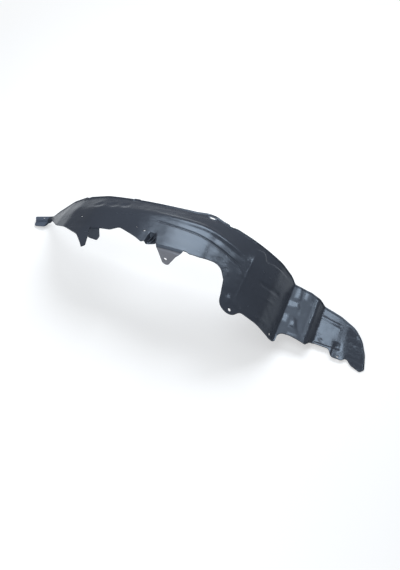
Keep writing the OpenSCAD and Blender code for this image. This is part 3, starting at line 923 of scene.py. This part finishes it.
class LINER_OT_gussets(bpy.types.Operator):
    """Stands the row of gussets on the ledge"""
    bl_idname = "liner.gussets"
    bl_label = "Gussets"

    def execute(self, context):
        form = Form(context.scene.liner_sheet)
        y_from, y_to = GUSSET_Y
        ends = []
        for x in (GUSSET_X[0], GUSSET_X[-1]):
            ends.append(place([x, (y_from + y_to) / 2, form.height(x, y_from) - form.wall / 2]))
        count = len(GUSSET_X)
        row = new_object("gussets", [(0, 0, 0)], [])
        size = (context.scene.liner_tabs.gusset_wall, (y_to - y_from) * MM,
                (LEDGE_DROP - GUSSET_UNDER) * MM)
        step = (ends[1] - ends[0]) / (count - 1)
        use_tree(row, gusset_tree(), {
            "Count": count, "Start": tuple(ends[0]), "Step": tuple(step), "Size": size,
            "Low end": GUSSET_LOW_END * MM, "Turn": -math.radians(GUSSET_TURN)})
        combine(liner_object(), face_out(row), "UNION")
        return {"FINISHED"}


class LINER_OT_holes(bpy.types.Operator):
    """Drills the fixing holes and cuts the slot"""
    bl_idname = "liner.holes"
    bl_label = "Holes"

    def execute(self, context):
        form = Form(context.scene.liner_sheet)
        spots = list(SHEET_HOLES)
        for shift in (-SLOT_LENGTH / 2, SLOT_LENGTH / 2):
            spots.append((SLOT_AT[0] + shift, SLOT_AT[1], SLOT_WIDTH))
        points = [(x, y, form.height(x, y)) for x, y, _ in spots]
        axes = [form.normal(x, y) for x, y, _ in spots]
        radii = [d / 2 for _, _, d in spots]
        points.append((TAB_HOLE[0], LONG_TAB_Y, TAB_HOLE[1]))
        axes.append(np.array([0.0, 1.0, 0.0]))
        radii.append(TAB_HOLE[2] / 2)
        drills = new_object("drills", place(points), [])
        for name, kind, key, values in (
            ("axis", "FLOAT_VECTOR", "vector", np.array(axes)),
            ("radius", "FLOAT", "value", np.array(radii) * MM),
        ):
            attribute = drills.data.attributes.new(name, kind, "POINT")
            attribute.data.foreach_set(key, values.astype(np.float32).ravel())
        use_tree(drills, drill_tree(), {"Depth": DRILL_LENGTH})
        combine(drills, slot_middle(form), "UNION")
        combine(liner_object(), drills, "DIFFERENCE")
        return {"FINISHED"}


def slot_middle(form):
    """Block between the round ends of the slot, square to the sheet."""
    x, y = SLOT_AT
    normal = Vector(form.normal(x, y))
    along = Vector((1, 0, 0))
    across = normal.cross(along).normalized()
    along = across.cross(normal)
    middle = Vector(place([x, y, form.height(x, y)]))
    corners = []
    for k in (-1, 1):
        for j in (-1, 1):
            for i in (-1, 1):
                corners.append(middle + normal * DRILL_LENGTH / 2 * k
                               + across * SLOT_WIDTH / 2 * MM * j
                               + along * SLOT_LENGTH / 2 * MM * i)
    faces = [(0, 2, 3, 1), (4, 5, 7, 6), (0, 1, 5, 4), (2, 6, 7, 3), (0, 4, 6, 2), (1, 3, 7, 5)]
    return face_out(new_object("slot_middle", [tuple(c) for c in corners], faces))


def inside_box(x, y, box, fade):
    """1 within a box in X and Y, down to 0 at its border over the width of the fade."""
    (x_from, x_to), (y_from, y_to) = box
    depth = (x - x_from).at_most(x_to - x).at_most(y - y_from).at_most(y_to - y)
    return (depth / fade).at_least(0.0).at_most(1.0)


def plastic_material(finish):
    """Black moulded plastic with a satin sheen, a fine grain, faint streaks along the mould, and
    painted light on the long tab and the foot.
    """
    material = bpy.data.materials.get("moulded plastic")
    if material:
        return material
    material = bpy.data.materials.new("moulded plastic")
    material.use_nodes = True
    material.node_tree.nodes.clear()
    nodes = Tree(material.node_tree)
    spot = nodes.value("ShaderNodeTexCoord", None, None, "Object")
    grain = nodes.value(
        "ShaderNodeTexNoise", None, {"Vector": spot, "Scale": 1 / finish.grain, "Detail": 2.0})
    streak_spot = nodes.value(
        "ShaderNodeMapping", None, {"Vector": spot, "Scale": (4.0, 60.0, 60.0)})
    streak = nodes.value(
        "ShaderNodeTexNoise", None, {"Vector": streak_spot, "Scale": 1.0, "Detail": 3.0})
    cloud = nodes.value("ShaderNodeTexNoise", None, {"Vector": spot, "Scale": 9.0, "Detail": 4.0})
    roughness = finish.roughness + (cloud - 0.5) * CLOUD_ROUGHNESS
    roughness = roughness + (streak - 0.5) * STREAK_ROUGHNESS
    dark, pale = [(*[shade * part for part in finish.color], 1)
                  for shade in (DARK_SHADE, PALE_SHADE)]
    color = nodes.value(
        "ShaderNodeMix", {"data_type": "RGBA"}, {"Factor": cloud, "A": dark, "B": pale}, "Result")
    at = nodes.node("ShaderNodeSeparateXYZ", None, {0: spot})
    x, y = Value(nodes, at.outputs["X"]) / MM, Value(nodes, at.outputs["Y"]) / MM
    # Painted light: the long tab and the foot are painted paler where light falls on them
    for painted_light_color, *box in PAINTED_LIGHT_PATCHES:
        color = nodes.value(
            "ShaderNodeMix", {"data_type": "RGBA"},
            {"Factor": inside_box(x, y, box, PAINTED_LIGHT_FADE), "A": color, "B": (*painted_light_color, 1)},
            "Result")
    smooth = inside_box(x, y, SMOOTH_PATCHES[0], PATCH_FADE)
    for box in SMOOTH_PATCHES[1:]:
        smooth = smooth.at_least(inside_box(x, y, box, PATCH_FADE))
    matt = inside_box(x, y, MATT_TREAD, MATT_FADE) * (1.0 - smooth)
    tip = ((x - SMOOTH_TIP[0]) / SMOOTH_TIP[1]).at_least(0.0).at_most(1.0)
    roughness = roughness + matt * MATT_ROUGHNESS - tip * TIP_SMOOTHNESS
    wave = nodes.value("ShaderNodeTexNoise", None, {"Vector": spot, "Scale": 34.0, "Detail": 1.0})
    treads = ((x - APRON_X).at_most(SMOOTH_TIP[0] - x) / TREAD_FADE).at_least(0.0).at_most(1.0)
    height = grain * GRAIN_BUMP + streak * STREAK_BUMP + wave * (WAVE_BUMP + treads * WAVE_BUMP)
    normal = nodes.value(
        "ShaderNodeBump", None, {"Strength": 1.0, "Distance": 1.0, "Height": height})
    shader = nodes.node(
        "ShaderNodeBsdfPrincipled", None,
        {"Base Color": color, "Roughness": roughness, "Normal": normal, "Specular IOR Level": 0.5,
         "Specular Tint": (0.68, 0.83, 1.0, 1)})
    nodes.node("ShaderNodeOutputMaterial", None, {"Surface": shader.outputs[0]})
    return material


class LINER_OT_finish(bpy.types.Operator):
    """Gives the liner its plastic and hands it over to the frame"""
    bl_idname = "liner.finish"
    bl_label = "Finish"

    def execute(self, context):
        obj = liner_object()
        obj.data.materials.clear()
        obj.data.materials.append(plastic_material(context.scene.liner_finish))
        obj.data.polygons.foreach_set("use_smooth", [True] * len(obj.data.polygons))
        obj.data.set_sharp_from_angle(angle=math.radians(50))
        for name in ("plan", "sheet_up"):
            attribute = obj.data.attributes.get(name)
            if attribute:
                obj.data.attributes.remove(attribute)
        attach(obj, "root")
        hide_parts(NODE)
        return {"FINISHED"}


def seen_rays(nodes):
    """1 for rays that show the background, and less for those that mirror it in the plastic."""
    path = nodes.node("ShaderNodeLightPath")
    seen = Value(nodes, path.outputs["Is Camera Ray"])
    seen = seen.at_least(Value(nodes, path.outputs["Is Transmission Ray"]))
    return seen.at_least(Value(nodes, path.outputs["Is Glossy Ray"]) * MIRRORED_PART)


def floor_material(color):
    """Pale floor that shows nearly white to the camera and keeps the shadow."""
    material = bpy.data.materials.new("floor")
    material.use_nodes = True
    material.node_tree.nodes.clear()
    nodes = Tree(material.node_tree)
    spot = nodes.value("ShaderNodeTexCoord", None, None, "Object")
    distance = nodes.value("ShaderNodeVectorMath", {"operation": "LENGTH"}, {0: spot}, "Value")
    far = nodes.value(
        "ShaderNodeMapRange", {"interpolation_type": "SMOOTHSTEP"},
        {"Value": distance, "From Min": 1.0, "From Max": 3.0, "To Min": 0.5, "To Max": 1.0})
    shader = nodes.node(
        "ShaderNodeBsdfPrincipled", None,
        {"Base Color": (*color, 1), "Roughness": 0.9, "Specular IOR Level": 0.0,
         "Emission Color": (1, 1, 1, 1), "Emission Strength": seen_rays(nodes) * far})
    nodes.node("ShaderNodeOutputMaterial", None, {"Surface": shader.outputs[0]})
    return material


def aim(obj, target):
    """Turns a light or the camera to a target."""
    obj.rotation_euler = (Vector(target) - obj.location).to_track_quat("-Z", "Y").to_euler()


def add_light(name, size, power, location, target):
    """Rectangular soft light that points at a target."""
    light = bpy.data.lights.new(name, "AREA")
    light.shape = "RECTANGLE"
    light.size, light.size_y = size
    light.energy = power
    light.color = (0.9, 0.95, 1.0)
    obj = bpy.data.objects.new(name, light)
    obj.location = location
    bpy.context.scene.collection.objects.link(obj)
    aim(obj, target)


class LINER_OT_stage(bpy.types.Operator):
    """Sets up the floor, the lights and the camera"""
    bl_idname = "liner.stage"
    bl_label = "Stage"

    def execute(self, context):
        stage = context.scene.liner_stage
        scene = context.scene
        half = 6.0
        corners = [(-half, -half, 0), (half, -half, 0), (half, half, 0), (-half, half, 0)]
        floor = new_object("floor", corners, [(0, 1, 2, 3)])
        floor.data.materials.append(floor_material(stage.floor_color))

        for name, power, size, location, target in (
            ("back_light", stage.back_power, (1.29, 0.76), (-0.065, 1.0, 1.35),
             (-0.065, 0.2, 0.15)),
            ("side_light", stage.side_power, (0.4, 0.4), (1.06, 1.42, 1.35), (0.1, 0.0, 0.15)),
            ("top_light", stage.top_power, (1.2, 1.0), (-0.3, -0.3, 1.5), (-0.1, 0.0, 0.0)),
            ("front_light", stage.front_power, (1.4, 0.5), (0.1, -1.6, 0.5), (0.0, 0.0, 0.1)),
        ):
            add_light(name, size, power, location, target)

        world = bpy.data.worlds.new("studio")
        world.use_nodes = True
        world.node_tree.nodes.clear()
        nodes = Tree(world.node_tree)
        strength = seen_rays(nodes).at_least(AMBIENT_PART)
        background = nodes.node(
            "ShaderNodeBackground", None, {"Color": (1, 1, 1, 1), "Strength": strength})
        nodes.node("ShaderNodeOutputWorld", None, {"Surface": background.outputs[0]})
        scene.world = world

        camera_data = bpy.data.cameras.new("camera")
        camera_data.lens = 41.37
        camera_data.clip_end = 50
        camera = bpy.data.objects.new("camera", camera_data)
        flat = math.cos(stage.elevation)
        direction = Vector((math.sin(stage.azimuth) * flat, -math.cos(stage.azimuth) * flat,
                            math.sin(stage.elevation)))
        camera.location = Vector(stage.target) + direction * stage.distance
        scene.collection.objects.link(camera)
        aim(camera, stage.target)
        scene.camera = camera
        scene.view_settings.view_transform = "Standard"
        return {"FINISHED"}


class LINER_PT_panel(bpy.types.Panel):
    """Lists the steps of the liner"""
    bl_idname = "LINER_PT_panel"
    bl_label = "Wheel Arch Liner"
    bl_space_type = "VIEW_3D"
    bl_region_type = "UI"
    bl_category = "Liner"

    def draw(self, context):
        for operator in OPERATORS:
            self.layout.operator(operator.bl_idname)
        for group in GROUPS:
            box = self.layout.box()
            settings = getattr(context.scene, group)
            for name in settings.bl_rna.properties.keys():
                if name not in ("rna_type", "name"):
                    box.prop(settings, name)


GROUPS = {
    "liner_sheet": LinerSheet,
    "liner_tabs": LinerTabs,
    "liner_finish": LinerFinish,
    "liner_stage": LinerStage,
}
OPERATORS = (
    LINER_OT_sheet, LINER_OT_tabs, LINER_OT_gussets, LINER_OT_holes, LINER_OT_finish,
    LINER_OT_stage,
)


def register():
    for group in (*GROUPS.values(), *OPERATORS, LINER_PT_panel):
        bpy.utils.register_class(group)
    for name, group in GROUPS.items():
        setattr(bpy.types.Scene, name, bpy.props.PointerProperty(type=group))


def unregister():
    for name in GROUPS:
        delattr(bpy.types.Scene, name)
    for group in (LINER_PT_panel, *OPERATORS, *GROUPS.values()):
        bpy.utils.unregister_class(group)


def main():
    register()
    bpy.ops.liner.sheet()
    bpy.ops.liner.tabs()
    bpy.ops.liner.gussets()
    bpy.ops.liner.holes()
    bpy.ops.liner.finish()
    bpy.ops.liner.stage()


if __name__ == "__main__":
    main()
